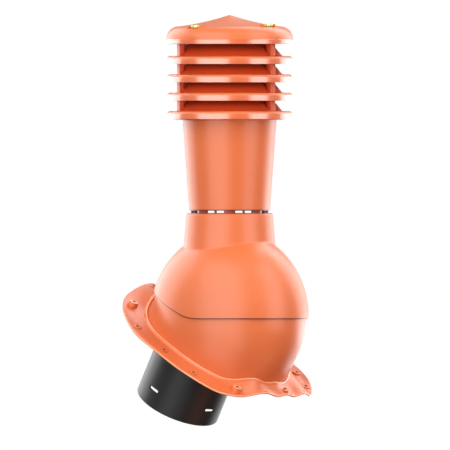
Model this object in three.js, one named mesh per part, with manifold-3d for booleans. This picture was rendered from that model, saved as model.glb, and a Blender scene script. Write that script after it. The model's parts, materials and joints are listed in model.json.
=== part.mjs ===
// A roof vent pipe of moulded plastic. A louvred cap sits on a tapered pipe, the pipe stands in the neck of
// a ball hood, and the hood tilts on a base whose wavy flange lies on a tiled roof. A black duct hangs below.
// Millimetres, +Z up, -Y down the slope. The origin is where the duct's axis meets the plane of the flange.
import * as THREE from 'three';
import { mergeVertices } from 'three/addons/utils/BufferGeometryUtils.js';
import Module from 'manifold-3d';

const wasm = await Module();
wasm.setup();

// Whole object
const ROOF_PITCH = THREE.MathUtils.degToRad(30);
const WALL = 3;
const GAP = 0.3;
const ROUND_SIDES = 28;
const MERGE = 1e-4;

// Ball centre, from the origin: down the slope and square to the roof. The tilt axis runs through it along X
const BALL_DOWNSLOPE = 28.5;
const BALL_ABOVE_ROOF = 59.6;

// Ball hood: a spheroid about the tilt axis, with a neck. Heights are above the ball centre
const BALL_RADIUS = 126;
const BALL_HALF_WIDTH = 103.5;
const BALL_WALL = 2;
const BALL_CLEARANCE = 1.2;
const BALL_SIDES = 36;
const SEAM_SEGMENTS = 3;
const SEAM_DROP = 4.4;
const SEAM_BEND = 16;
const SEAM_RISE = THREE.MathUtils.degToRad(22);
const NECK_TOP = 149;
const NECK_TOP_RADIUS = 63.2;
const NECK_FOOT = 60;
const NECK_FOOT_RADIUS = 69.8;
const NECK_EDGE = 1.5;
const SEAT_TOP = 139;
const SEAT_INNER_RADIUS = 50;

// Upper pipe, on eight tabs that stand on the seat in the neck
const PIPE_FOOT = 154.2;
const PIPE_FOOT_RADIUS = 58.9;
const PIPE_TOP = 285.4;
const PIPE_TOP_RADIUS = 68.4;
const PIPE_EDGE = 1.2;
const PIPE_DISC_RADIUS = 78.6;
const PIPE_DISC_LIFT = 0.4;
const PIPE_DISC_STEP = 0.5;
const TAB_COUNT = 8;
const TAB_RADIUS = 54.6;
const TAB_DEPTH = 3.4;
const TAB_RISE = 12;
const TAB_SPREAD = THREE.MathUtils.degToRad(17);

// Louvre rings, counted from the top
const RING_COUNT = 4;
const RING_RADIUS = 91.4;
const RING_TOP_FOOT = 366.7;
const RING_PITCH = 26.7;
const RING_WALL = 2.4;
const LIP_HEIGHT = 6;
const SHOULDER_RISE = 5.6;
const SHOULDER_DEPTH = 5;
const CONE_FOOT_RADIUS = 77;
const CONE_TOP_RADIUS = 61.2;
const CONE_RISE = 18.6;
const POST_COUNT = 3;
const POST_FIRST_ANGLE = THREE.MathUtils.degToRad(37.1);
const POST_RADIUS = 80.8;
const POST_WIDTH = 10;
const POST_DEPTH = 9;
const POST_ROOT = 1;

// Cap and its two spirit levels
const CAP_FOOT = 395.8;
const CAP_RADIUS = 92.8;
const CAP_LIP = 6.8;
const CAP_SHOULDER = 421.5;
const CAP_SHOULDER_RADIUS = 74;
const CAP_APEX = 438.2;
// Underside of the cap over the top ring's posts
const CAP_CEILING = 415.2;
const CONE_START = 0.55;
const CONE_ROWS = 3;
const CAP_ROWS = 4;
const LEVEL_RADIUS = 75;
const LEVEL_LENGTH = 20;
const LEVEL_DIAMETER = 4.8;
const LEVEL_SIDES = 12;
const CRADLE_RIM = 2.2;
const CRADLE_RISE = 1.9;
const CRADLE_FOOT = 416.8;
const POCKET_REACH = 12;
// Where each level sits round the cap and which way it lies, in degrees: one along the slope, one across it
const LEVELS = [{ place: 184.8, along: 90, height: 421.1 }, { place: -87.7, along: 180, height: 423.1 }];

// Base: the lower ball, its bead and the flange, in the plane of the roof. Y is up the slope here
const RIM_HEIGHT = 53;
const RIM_FALL = 0.2;
const FIT_PASSES = 8;
const BASE_WALL = 2.4;
const BASE_SIDES = 44;
const BALL_ROWS = 4;
const FLARE_ROWS = 3;
const FLANGE_ROWS = 2;
const BEAD_HALF_WIDTH = 93.1;
const BEAD_HALF_LENGTH = 119.3;
const BEAD_POWER = 2.32;
const BEAD_DOWNSLOPE = 26.5;
const BEAD_HEIGHT = 13;
const BEAD_WIDTH = 2.4;
const FLANGE_HALF_WIDTH = 125.4;
const FLANGE_UP = 127.4;
const FLANGE_UP_POWER = 2.2;
const FLANGE_DOWN = 160.2;
const FLANGE_DOWN_POWER = 4.6;
const FLANGE_HOLLOW = 1.4;
const FLANGE_RAISE = 26;
const RAISE_FROM = 8;
const RAISE_TO = 190;
const FLARE_SIDES = 62;
const FLARE_UPSLOPE = 36;
const FLARE_POWER = 2.8;
const FLOOR_SETBACK = 8;
// Crests and troughs of the tile wave, across the slope, along the bead and along the edge: [place, height]
const BEAD_WAVE = [[-95, -3.4], [-70, -4.6], [-27, 8.4], [-4, 3.4], [12, 4], [42, -1.2], [74, 5], [96, -4]];
const EDGE_WAVE = [[-126, 3], [-119, 4.4], [-91, 1.4], [-62, 0.7], [-11, 7], [17, 1.6], [35, 4.2], [50, 1],
  [69, 4.8], [102, -5], [126, 3.5]];
// Nail bosses and screw eyelets on the flange: [across, up the slope]
const BOSSES = [[-76.7, 85.7], [76.7, 85.7], [-60.6, -146.6]];
const EYELETS = [[-106.9, 35.8], [106.9, 35.8], [-109, -30.4], [109, -30.4], [-104.5, -95.5], [115, -89.8],
  [105.6, -123.8], [34.9, -149.4], [-11.9, 117.7]];
const BOSS_RADIUS = 7;
const BOSS_RISE = 6.5;
const EYELET_RADIUS = 6.6;
const EYELET_RISE = 0.9;
const NAIL_RADIUS = 1.9;
const NAIL_REACH = 54;
const FIXING_SIDES = 8;

// Duct stub, square to the roof
const DUCT_RADIUS = 62.5;
const DUCT_BELOW = 106;
const DUCT_LIP = 6;
const SLOT_COUNT = 4;
const SLOT_ABOVE_RIM = 26;
const SLOT_LENGTH = 18.5;
const SLOT_HEIGHT = 4.8;

// Looks
const TERRACOTTA = { color: 0xf3875a, roughness: 0.4 };
const BLACK = { color: 0x262626, roughness: 0.45 };
const LEVEL_GREEN = { color: 0xd8e34a, roughness: 0.1 };

// Closed bodies

function closedMesh(geometry) {
  const bare = geometry.index ? geometry.clone() : geometry;
  bare.deleteAttribute('normal');
  bare.deleteAttribute('uv');
  const merged = mergeVertices(bare, MERGE);
  const corners = merged.index.array;
  const kept = [];
  for (let i = 0; i < corners.length; i += 3) {
    const [a, b, c] = [corners[i], corners[i + 1], corners[i + 2]];
    if (a !== b && b !== c && c !== a) kept.push(a, b, c);
  }
  merged.setIndex(kept);
  return merged;
}

function solid(geometry) {
  const mesh = closedMesh(geometry);
  return new wasm.Manifold(new wasm.Mesh({
    numProp: 3,
    vertProperties: new Float32Array(mesh.attributes.position.array),
    triVerts: new Uint32Array(mesh.index.array),
  }));
}

function geometryOf(body) {
  const mesh = body.getMesh();
  const geometry = new THREE.BufferGeometry();
  geometry.setAttribute('position', new THREE.BufferAttribute(new Float32Array(mesh.vertProperties), 3));
  geometry.setIndex([...mesh.triVerts]);
  return geometry;
}

// Turns a closed profile of [radius, height] points, run anticlockwise, about the Z axis
function turned(profile, sides = ROUND_SIDES) {
  const points = [...profile, profile[0]].map(([radius, height]) => new THREE.Vector2(radius, height));
  return solid(new THREE.LatheGeometry(points, sides).rotateX(Math.PI / 2));
}

// Joins columns of points, each a closed loop, into one ring-shaped skin
function ringOfLoops(columns) {
  const rows = columns[0].length;
  const positions = columns.flatMap((column) => column.flatMap((point) => point.toArray()));
  const index = [];
  columns.forEach((column, i) => {
    const here = i * rows;
    const next = ((i + 1) % columns.length) * rows;
    for (let row = 0; row < rows; row += 1) {
      const after = (row + 1) % rows;
      index.push(here + row, here + after, next + row, next + row, here + after, next + after);
    }
  });
  const geometry = new THREE.BufferGeometry();
  geometry.setAttribute('position', new THREE.Float32BufferAttribute(positions, 3));
  geometry.setIndex(index);
  return solid(geometry);
}

function rod(radius, length, sides) {
  return new THREE.CylinderGeometry(radius, radius, length, sides).rotateX(Math.PI / 2);
}

function named(name, body, look) {
  const mesh = new THREE.Mesh(geometryOf(body), new THREE.MeshStandardMaterial(look));
  mesh.name = name;
  return mesh;
}

// Cap

// Rise of the hollow-sided cone, at a share of the way from the shoulder to the apex
function coneRise(share) {
  return (CAP_APEX - CAP_SHOULDER) * (CONE_START * share + (1 - CONE_START) * share ** 2);
}

function capOutline(inset) {
  const lipTop = CAP_FOOT + CAP_LIP;
  const outline = [[CAP_RADIUS - inset, CAP_FOOT]];
  const rows = inset ? CAP_ROWS / 2 : CAP_ROWS;
  for (let i = 0; i <= rows; i += 1) {
    const turn = (i / rows) * Math.PI / 2;
    outline.push([
      CAP_SHOULDER_RADIUS + (CAP_RADIUS - CAP_SHOULDER_RADIUS - inset) * Math.cos(turn),
      lipTop + (CAP_SHOULDER - lipTop - inset) * Math.sin(turn),
    ]);
  }
  for (let i = 1; i <= CONE_ROWS; i += 1) {
    const share = i / CONE_ROWS;
    outline.push([CAP_SHOULDER_RADIUS * (1 - share), CAP_SHOULDER - inset + coneRise(share)]);
  }
  return outline;
}

// A box or rod lying along X, outward along Y, moved to a level's place on the cap's shoulder
function atLevel(geometry, { place, along, height }) {
  const angle = THREE.MathUtils.degToRad(place);
  geometry.rotateZ(THREE.MathUtils.degToRad(along));
  return geometry.translate(LEVEL_RADIUS * Math.cos(angle), LEVEL_RADIUS * Math.sin(angle), height);
}

function cap() {
  let body = turned([...capOutline(0), ...capOutline(WALL).reverse()]);
  const length = LEVEL_LENGTH + 2 * GAP;
  const width = LEVEL_DIAMETER + 2 * GAP;
  const rim = 2 * CRADLE_RIM;
  for (const spot of LEVELS) {
    const depth = CRADLE_RISE + spot.height - CRADLE_FOOT;
    const block = new THREE.BoxGeometry(length + rim, width + rim, depth);
    block.translate(0, 0, CRADLE_RISE - depth / 2);
    const pocket = new THREE.BoxGeometry(length, width + POCKET_REACH, 2 * width);
    pocket.translate(0, POCKET_REACH / 2, width / 2);
    body = body.add(solid(atLevel(block, spot))).subtract(solid(atLevel(pocket, spot)));
  }
  return named('cap', body, TERRACOTTA);
}

function level(spot, index) {
  const vial = rod(LEVEL_DIAMETER / 2, LEVEL_LENGTH, LEVEL_SIDES).rotateY(Math.PI / 2);
  return named(`level_vial_${index + 1}`, solid(atLevel(vial, spot)), LEVEL_GREEN);
}

// Louvre rings

function ringFoot(index) {
  return RING_TOP_FOOT - index * RING_PITCH;
}

// One side of the ring's sheet, from the lip's foot to the top of the cone
function ringOutline(foot, inset) {
  const lipTop = foot + LIP_HEIGHT;
  const ledge = lipTop + SHOULDER_RISE - inset;
  const outline = [[RING_RADIUS - inset, foot]];
  const turns = inset ? 1 : 2;
  for (let i = 0; i <= turns; i += 1) {
    const turn = (i / turns) * Math.PI / 2;
    outline.push([
      RING_RADIUS - SHOULDER_DEPTH + (SHOULDER_DEPTH - inset) * Math.cos(turn),
      lipTop + (SHOULDER_RISE - inset) * Math.sin(turn),
    ]);
  }
  outline.push([CONE_FOOT_RADIUS - inset, ledge]);
  outline.push([CONE_TOP_RADIUS - inset, ledge + CONE_RISE]);
  return outline;
}

function louvreRing(index) {
  const foot = ringFoot(index);
  const ledge = foot + LIP_HEIGHT + SHOULDER_RISE;
  const above = index === 0 ? CAP_CEILING : ledge + RING_PITCH - RING_WALL;
  let body = turned([...ringOutline(foot, 0), ...ringOutline(foot, RING_WALL).reverse()]);
  const postFoot = ledge - POST_ROOT;
  const height = above - GAP - postFoot;
  for (let i = 0; i < POST_COUNT; i += 1) {
    const post = new THREE.BoxGeometry(POST_DEPTH, POST_WIDTH, height);
    post.translate(POST_RADIUS - POST_DEPTH / 2, 0, postFoot + height / 2);
    post.rotateZ(POST_FIRST_ANGLE + (i * 2 * Math.PI) / POST_COUNT);
    body = body.add(solid(post));
  }
  return named(`louvre_ring_${index + 1}`, body, TERRACOTTA);
}

// Upper pipe

function upperPipe() {
  const slope = (PIPE_TOP_RADIUS - PIPE_FOOT_RADIUS) / (PIPE_TOP - PIPE_FOOT);
  const collarTop = ringFoot(RING_COUNT - 1) + LIP_HEIGHT + SHOULDER_RISE - RING_WALL - GAP;
  const collarRadius = PIPE_TOP_RADIUS + slope * (collarTop - PIPE_TOP);
  const discFoot = PIPE_TOP + PIPE_DISC_LIFT;
  let body = turned([
    [PIPE_FOOT_RADIUS - PIPE_EDGE, PIPE_FOOT],
    [PIPE_FOOT_RADIUS, PIPE_FOOT + PIPE_EDGE],
    [PIPE_TOP_RADIUS, PIPE_TOP],
    [PIPE_DISC_RADIUS, discFoot],
    [PIPE_DISC_RADIUS, discFoot + RING_WALL],
    [PIPE_TOP_RADIUS + PIPE_DISC_STEP, discFoot + RING_WALL],
    [collarRadius, collarTop],
    [collarRadius - WALL, collarTop],
    [PIPE_FOOT_RADIUS - WALL, PIPE_FOOT],
  ]);
  const tabFoot = SEAT_TOP + GAP;
  const tabTop = PIPE_FOOT + TAB_RISE;
  const tabWidth = 2 * TAB_RADIUS * Math.sin(TAB_SPREAD / 2);
  for (let i = 0; i < TAB_COUNT; i += 1) {
    const tab = new THREE.BoxGeometry(TAB_DEPTH, tabWidth, tabTop - tabFoot);
    tab.translate(TAB_RADIUS, 0, (tabTop + tabFoot) / 2);
    tab.rotateZ((i * 2 * Math.PI) / TAB_COUNT);
    body = body.add(solid(tab));
  }
  return named('upper_pipe', body, TERRACOTTA);
}

// Ball hood

function spheroid(inset) {
  const ball = new THREE.SphereGeometry(1, BALL_SIDES, BALL_SIDES / 2).rotateZ(Math.PI / 2);
  ball.scale(BALL_HALF_WIDTH - inset, BALL_RADIUS - inset, BALL_RADIUS - inset);
  return solid(ball);
}

// What lies under the seam: level across the front, rising up the slope behind
function underSeam() {
  const far = 2 * BALL_RADIUS;
  const outline = new THREE.Shape();
  outline.moveTo(-far, -far);
  outline.lineTo(far, -far);
  outline.lineTo(far, -SEAM_DROP + (far + SEAM_BEND) * Math.tan(SEAM_RISE));
  outline.lineTo(0, -SEAM_DROP + SEAM_BEND * Math.tan(SEAM_RISE));
  outline.quadraticCurveTo(-SEAM_BEND, -SEAM_DROP, -2 * SEAM_BEND, -SEAM_DROP);
  outline.lineTo(-far, -SEAM_DROP);
  outline.closePath();
  const drawn = { depth: far, bevelEnabled: false, curveSegments: SEAM_SEGMENTS };
  const prism = new THREE.ExtrudeGeometry(outline, drawn);
  prism.translate(0, 0, -far / 2).rotateX(Math.PI / 2).rotateZ(Math.PI / 2);
  return solid(prism);
}

function neckRadius(height) {
  const share = (height - NECK_FOOT) / (NECK_TOP - NECK_FOOT);
  return NECK_FOOT_RADIUS + (NECK_TOP_RADIUS - NECK_FOOT_RADIUS) * share;
}

function ballHood() {
  const neckOuter = turned([
    [0, NECK_FOOT],
    [NECK_FOOT_RADIUS, NECK_FOOT],
    [neckRadius(NECK_TOP - 2 * NECK_EDGE), NECK_TOP - 2 * NECK_EDGE],
    [neckRadius(NECK_TOP) - NECK_EDGE, NECK_TOP],
    [0, NECK_TOP],
  ]);
  const seatFoot = SEAT_TOP - WALL;
  const neckInner = turned([
    [0, NECK_FOOT - WALL],
    [neckRadius(NECK_FOOT) - WALL, NECK_FOOT - WALL],
    [neckRadius(seatFoot) - WALL, seatFoot - WALL],
    [SEAT_INNER_RADIUS, seatFoot],
    [SEAT_INNER_RADIUS, SEAT_TOP],
    [neckRadius(SEAT_TOP) - WALL, SEAT_TOP],
    [neckRadius(NECK_TOP) - WALL, NECK_TOP + WALL],
    [0, NECK_TOP + WALL],
  ]);
  const body = neckOuter.add(spheroid(0)).subtract(neckInner.add(spheroid(BALL_WALL)));
  return named('ball_hood', body.subtract(underSeam()), TERRACOTTA);
}

// Base

// A point of a rounded outline, in the direction of a turn
function superellipse(turn, halfWidth, halfLength, power) {
  const across = Math.abs(Math.cos(turn) / halfWidth) ** power;
  const along = Math.abs(Math.sin(turn) / halfLength) ** power;
  const radius = (across + along) ** (-1 / power);
  return new THREE.Vector2(radius * Math.cos(turn), radius * Math.sin(turn));
}

// An outline whose upslope and downslope halves have their own length and fullness
// A tile wave: level at each crest and trough, a cosine between them
function wave(across, points) {
  const reach = THREE.MathUtils.clamp(across, points[0][0], points.at(-1)[0]);
  const right = Math.max(1, points.findIndex(([place]) => place >= reach));
  const [placeA, heightA] = points[right - 1];
  const [placeB, heightB] = points[right];
  const share = (reach - placeA) / (placeB - placeA);
  return heightA + (heightB - heightA) * (1 - Math.cos(Math.PI * share)) / 2;
}

// The tiles' height, at a share of the way from the bead to the edge
function ground(plan, share) {
  const raise = FLANGE_RAISE * THREE.MathUtils.smoothstep(plan.y, RAISE_FROM, RAISE_TO);
  return THREE.MathUtils.lerp(wave(plan.x, BEAD_WAVE), wave(plan.x, EDGE_WAVE), share) + raise;
}

function beadPlan(turn, inset) {
  const plan = superellipse(turn, BEAD_HALF_WIDTH - inset, BEAD_HALF_LENGTH - inset, BEAD_POWER);
  plan.y -= BEAD_DOWNSLOPE;
  return plan;
}

function edgePlan(turn) {
  if (Math.sin(turn) > 0) return superellipse(turn, FLANGE_HALF_WIDTH, FLANGE_UP, FLANGE_UP_POWER);
  return superellipse(turn, FLANGE_HALF_WIDTH, FLANGE_DOWN, FLANGE_DOWN_POWER);
}

// The ball's level section at a height, then drawn out towards its foot at the bead
function ballPlan(turn, height, inset) {
  const radius = BALL_RADIUS - BALL_WALL - BALL_CLEARANCE;
  const rise = Math.min(Math.abs(height - BALL_ABOVE_ROOF) / radius, 1);
  const share = Math.sqrt(1 - rise ** 2);
  const halfWidth = BALL_HALF_WIDTH - BALL_WALL - BALL_CLEARANCE;
  const plan = superellipse(turn, halfWidth * share - inset, radius * share - inset, 2);
  plan.y -= BALL_DOWNSLOPE;
  return plan;
}

function rimHeight(turn) {
  let height = BALL_ABOVE_ROOF + RIM_HEIGHT;
  for (let i = 0; i < FIT_PASSES; i += 1) {
    const along = ballPlan(turn, height, 0).y + BALL_DOWNSLOPE;
    height = BALL_ABOVE_ROOF + RIM_HEIGHT - RIM_FALL * along;
  }
  return height;
}

// The wall of the lower ball, from the rim to its foot inside the bead
function ballWall(turn, foot, inset) {
  const rim = rimHeight(turn);
  const upslope = THREE.MathUtils.smoothstep(Math.sin(turn), 0, 1);
  const flareFrom = FLARE_SIDES + (FLARE_UPSLOPE - FLARE_SIDES) * upslope;
  const target = beadPlan(turn, BEAD_WIDTH / 2 + inset);
  const reach = target.sub(ballPlan(turn, foot, inset));
  const heights = [];
  for (let row = 0; row <= BALL_ROWS; row += 1) heights.push(rim + (flareFrom - rim) * (row / BALL_ROWS));
  for (let row = 1; row <= FLARE_ROWS; row += 1) {
    heights.push(flareFrom + (foot - flareFrom) * (row / FLARE_ROWS));
  }
  return heights.map((height) => {
    const flare = Math.max(0, (flareFrom - height) / (flareFrom - foot)) ** FLARE_POWER;
    const plan = ballPlan(turn, height, inset).addScaledVector(reach, flare);
    return new THREE.Vector3(plan.x, plan.y, height);
  });
}

// Height of the flange's face, at a share of the way from the bead to the edge
function flangeFace(plan, share) {
  return ground(plan, share) + (BEAD_HEIGHT - BEAD_WIDTH) * (1 - share) ** FLANGE_HOLLOW;
}

// The flange's sheet, from the bead's outer side to the edge
function flangeSheet(turn, drop) {
  const start = beadPlan(turn, -BEAD_WIDTH);
  const edge = edgePlan(turn);
  const sheet = [];
  for (let row = 0; row <= FLANGE_ROWS; row += 1) {
    const share = row / FLANGE_ROWS;
    const plan = start.clone().lerp(edge, share);
    sheet.push(new THREE.Vector3(plan.x, plan.y, flangeFace(plan, share) - drop));
  }
  return sheet;
}

function baseSection(turn) {
  const at = (plan, height) => new THREE.Vector3(plan.x, plan.y, height);
  const crest = beadPlan(turn, 0);
  const beadTop = ground(crest, 0) + BEAD_HEIGHT;
  const hole = superellipse(turn, DUCT_RADIUS + GAP, DUCT_RADIUS + GAP, 2);
  const outside = ballWall(turn, beadTop - BEAD_WIDTH / 2, 0);
  const bead = [at(beadPlan(turn, BEAD_WIDTH / 4), beadTop), at(beadPlan(turn, -BEAD_WIDTH / 2), beadTop)];
  const underside = flangeSheet(turn, WALL).reverse();
  const floor = [
    at(beadPlan(turn, FLOOR_SETBACK - BASE_WALL), -WALL),
    at(hole, -WALL),
    at(hole, 0),
    at(beadPlan(turn, FLOOR_SETBACK), 0),
  ];
  const inside = ballWall(turn, beadTop - BEAD_WIDTH / 2, BASE_WALL).reverse();
  return [...outside, ...bead, ...flangeSheet(turn, 0), ...underside, ...floor, ...inside];
}

// Height of the flange's face over a place on it
function flangeHeight(across, along) {
  const place = new THREE.Vector2(across, along);
  let turn = place.angle();
  let share = 0;
  for (let i = 0; i < FIT_PASSES; i += 1) {
    const start = beadPlan(turn, -BEAD_WIDTH);
    const run = edgePlan(turn).sub(start);
    share = THREE.MathUtils.clamp(place.clone().sub(start).dot(run) / run.lengthSq(), 0, 1);
    turn += place.angle() - start.addScaledVector(run, share).angle();
  }
  return flangeFace(place, share);
}

function base() {
  const columns = [];
  for (let i = 0; i < BASE_SIDES; i += 1) columns.push(baseSection((i / BASE_SIDES) * 2 * Math.PI));
  let body = ringOfLoops(columns);
  const fixings = [
    ...BOSSES.map((place) => ({ place, radius: BOSS_RADIUS, rise: BOSS_RISE })),
    ...EYELETS.map((place) => ({ place, radius: EYELET_RADIUS, rise: EYELET_RISE })),
  ];
  for (const { place: [across, along], radius, rise } of fixings) {
    const middle = flangeHeight(across, along);
    const pad = rod(radius, rise + WALL, FIXING_SIDES).translate(across, along, middle + (rise - WALL) / 2);
    const nail = rod(NAIL_RADIUS, NAIL_REACH, FIXING_SIDES).translate(across, along, middle);
    body = body.add(solid(pad)).subtract(solid(nail));
  }
  return named('base', body, TERRACOTTA);
}

// Duct stub

function ductStub() {
  const inner = DUCT_RADIUS - WALL;
  let body = turned([
    [inner, -DUCT_BELOW],
    [DUCT_RADIUS, -DUCT_BELOW],
    [DUCT_RADIUS, GAP],
    [DUCT_RADIUS + DUCT_LIP, GAP],
    [DUCT_RADIUS + DUCT_LIP, WALL + GAP],
    [inner, WALL + GAP],
  ]);
  for (let i = 0; i < SLOT_COUNT; i += 1) {
    const slot = new THREE.BoxGeometry(4 * WALL, SLOT_LENGTH, SLOT_HEIGHT);
    slot.translate(DUCT_RADIUS - WALL / 2, 0, SLOT_ABOVE_RIM - DUCT_BELOW);
    slot.rotateZ((i * 2 * Math.PI) / SLOT_COUNT);
    body = body.subtract(solid(slot));
  }
  return named('duct_stub', body, BLACK);
}

// Assembly: the roof side lies in the plane of the roof, and the pipe side stands plumb over the ball centre
const roofSide = new THREE.Group();
roofSide.rotation.x = ROOF_PITCH;
roofSide.add(base(), ductStub());

const pipeSide = new THREE.Group();
pipeSide.position.set(0, -BALL_DOWNSLOPE, BALL_ABOVE_ROOF);
pipeSide.position.applyAxisAngle(new THREE.Vector3(1, 0, 0), ROOF_PITCH);
pipeSide.add(ballHood(), upperPipe(), cap());
for (let i = 0; i < RING_COUNT; i += 1) pipeSide.add(louvreRing(i));
LEVELS.forEach((spot, index) => pipeSide.add(level(spot, index)));

const group = new THREE.Group();
group.add(roofSide, pipeSide);
export default group;
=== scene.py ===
"""The looks of a roof vent pipe of moulded plastic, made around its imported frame.

Sizes are millimetres in the setting that a piece is drawn in. The roof setting lies in the plane of the roof,
with Y up the slope. The plumb setting stands over the centre of the ball, with Z up.
"""

import json
import math

import bmesh
import bpy
import numpy as np
from mathutils import Matrix, Vector


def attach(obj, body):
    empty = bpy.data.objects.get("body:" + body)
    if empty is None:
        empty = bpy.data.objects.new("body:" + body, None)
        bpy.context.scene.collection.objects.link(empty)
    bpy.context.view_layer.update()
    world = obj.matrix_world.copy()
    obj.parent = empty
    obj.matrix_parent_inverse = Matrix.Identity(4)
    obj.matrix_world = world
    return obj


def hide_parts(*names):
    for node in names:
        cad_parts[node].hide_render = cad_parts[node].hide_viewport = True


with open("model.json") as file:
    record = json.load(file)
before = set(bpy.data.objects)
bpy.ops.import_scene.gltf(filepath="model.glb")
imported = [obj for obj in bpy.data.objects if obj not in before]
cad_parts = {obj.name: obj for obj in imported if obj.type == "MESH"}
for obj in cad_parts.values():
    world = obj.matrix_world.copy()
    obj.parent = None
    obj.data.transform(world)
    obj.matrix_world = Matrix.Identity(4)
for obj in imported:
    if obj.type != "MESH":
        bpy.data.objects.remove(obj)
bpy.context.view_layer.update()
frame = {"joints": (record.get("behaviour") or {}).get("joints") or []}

# Duct stub
# The end of a 125 mm ventilation duct in black plastic, which hangs by its lip in the floor of the base.
# An extruded pipe with an eased end, and four locking slots punched round it.
MM = 0.001
ROOF_PITCH = math.radians(30)
WALL = 3.0
GAP = 0.3
DUCT_RADIUS = 62.5
DUCT_BELOW = 106.0
DUCT_LIP = 6.0
DUCT_COLOUR = (0.012, 0.012, 0.013, 1)
DUCT_WORN = (0.022, 0.022, 0.023, 1)
DUCT_ROUGHNESS = 0.34
DUCT_GRAIN_SCALE = 900.0
DUCT_BUMP = 0.0004
DRAW_LINES = (240, 240, 6)
SLOT_COUNT = 4
SLOT_ABOVE_RIM = 26.0
SLOT_LENGTH = 18.5
SLOT_HEIGHT = 4.8
SLOT_EASING = 1.0
FINE_SIDES = 160
EASING_SHARE = 0.48
MERGE_DISTANCE = 1e-4
roof_setting = Matrix.Rotation(ROOF_PITCH, 4, "X") @ Matrix.Scale(MM, 4)


def eased(corners, steps=5):
    """A closed outline through (across, up, easing) corners, each rounded off over its easing"""
    places = [Vector(corner[:2]) for corner in corners]
    outline = []
    for here, corner in enumerate(corners):
        point = places[here]
        back = places[here - 1] - point
        ahead = places[(here + 1) % len(places)] - point
        reach = min(corner[2], EASING_SHARE * back.length, EASING_SHARE * ahead.length)
        start = point + back.normalized() * reach
        end = point + ahead.normalized() * reach
        for share in np.linspace(0, 1, steps if reach else 1):
            outline.append(start.lerp(point, share).lerp(point.lerp(end, share), share))
    return np.array(outline)


def skin(name, grid, polish_and_painted_highlight=None):
    """A closed body from a grid of points, whose rows and columns both run round and meet again. Each row may
    have its own share of polish and painted highlight"""
    rows, columns, _ = grid.shape
    row, column = np.meshgrid(np.arange(rows), np.arange(columns), indexing="ij")
    below, beside = (row + 1) % rows, (column + 1) % columns
    quads = np.stack([row * columns + column, row * columns + beside,
                      below * columns + beside, below * columns + column], axis=-1)
    mesh = bpy.data.meshes.new(name)
    mesh.from_pydata(grid.reshape(-1, 3).tolist(), [], quads.reshape(-1, 4).tolist())
    if polish_and_painted_highlight is not None:
        mesh.attributes.new("polish_and_painted_highlight", "FLOAT", "POINT").data.foreach_set("value", np.repeat(polish_and_painted_highlight, columns))
    body = bmesh.new()
    body.from_mesh(mesh)
    bmesh.ops.remove_doubles(body, verts=body.verts, dist=MERGE_DISTANCE)
    bmesh.ops.recalc_face_normals(body, faces=body.faces)
    body.to_mesh(mesh)
    body.free()
    piece = bpy.data.objects.new(name, mesh)
    bpy.context.scene.collection.objects.link(piece)
    return piece


def turned(name, profile, sides=FINE_SIDES):
    """A closed profile of (radius, height) points, turned about the Z axis"""
    turns = np.linspace(0, 2 * np.pi, sides, endpoint=False)
    radius, height = profile[:, :1], profile[:, 1:]
    grid = np.stack(np.broadcast_arrays(radius * np.cos(turns), radius * np.sin(turns), height), axis=-1)
    return skin(name, grid)


def prism(name, outline, low, high):
    """A flat outline, run anticlockwise, drawn up from one height to another"""
    body = bmesh.new()
    foot = [body.verts.new((x, y, low)) for x, y in outline]
    top = [body.verts.new((x, y, high)) for x, y in outline]
    body.faces.new(foot[::-1])
    body.faces.new(top)
    for i in range(len(foot)):
        after = (i + 1) % len(foot)
        body.faces.new((foot[i], foot[after], top[after], top[i]))
    mesh = bpy.data.meshes.new(name)
    body.to_mesh(mesh)
    body.free()
    piece = bpy.data.objects.new(name, mesh)
    bpy.context.scene.collection.objects.link(piece)
    return piece


def tablet(length, width, easing):
    """A rectangle about the origin with eased corners"""
    x, y = length / 2, width / 2
    return eased([(-x, -y, easing), (x, -y, easing), (x, y, easing), (-x, y, easing)], steps=4)


def spread_round(count, make, first=0.0):
    """Copies of a piece, spread evenly round the axis"""
    pieces = []
    for i in range(count):
        piece = make()
        piece.data.transform(Matrix.Rotation(first + i * 2 * math.pi / count, 4, "Z"))
        pieces.append(piece)
    return pieces


def joined(pieces):
    """Several pieces made into one object, each still a closed body"""
    body = bmesh.new()
    for piece in pieces:
        body.from_mesh(piece.data)
    whole = pieces[0]
    body.to_mesh(whole.data)
    body.free()
    for piece in pieces[1:]:
        bpy.data.objects.remove(piece)
    return whole


def worked(piece, tools, operation):
    """The piece after its tools are cut out of it (DIFFERENCE) or fused to it (UNION)"""
    tool = joined(tools)
    step = piece.modifiers.new("work", "BOOLEAN")
    step.object = tool
    step.operation = operation
    step.solver = "EXACT"
    bpy.context.view_layer.update()
    shaped = bpy.data.meshes.new_from_object(piece.evaluated_get(bpy.context.evaluated_depsgraph_get()))
    piece.modifiers.clear()
    piece.data = shaped
    bpy.data.objects.remove(tool)
    return piece


def dressed(piece, setting, material, crease=32):
    """Sets a piece in the frame, in metres, with its material and with sharp edges only at true corners"""
    piece.data.transform(setting)
    piece.data.materials.clear()
    piece.data.materials.append(material)
    for face in piece.data.polygons:
        face.use_smooth = True
    piece.data.set_sharp_from_angle(angle=math.radians(crease))
    return piece


class Term:
    """A shader socket that can stand in a sum or a product"""

    def __init__(self, finish, socket):
        self.finish = finish
        self.socket = socket

    def join(self, operation, first, second):
        return self.finish.node("ShaderNodeMath", {"operation": operation}, {0: first, 1: second})

    def __add__(self, other):
        return self.join("ADD", self, other)

    def __sub__(self, other):
        return self.join("SUBTRACT", self, other)

    def __rsub__(self, other):
        return self.join("SUBTRACT", other, self)

    def __mul__(self, other):
        return self.join("MULTIPLY", self, other)

    __radd__ = __add__
    __rmul__ = __mul__

    def at_least(self, low):
        return self.join("MAXIMUM", self, low)

    def between(self, low, high):
        return self.join("MINIMUM", self.at_least(low), high)


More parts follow.
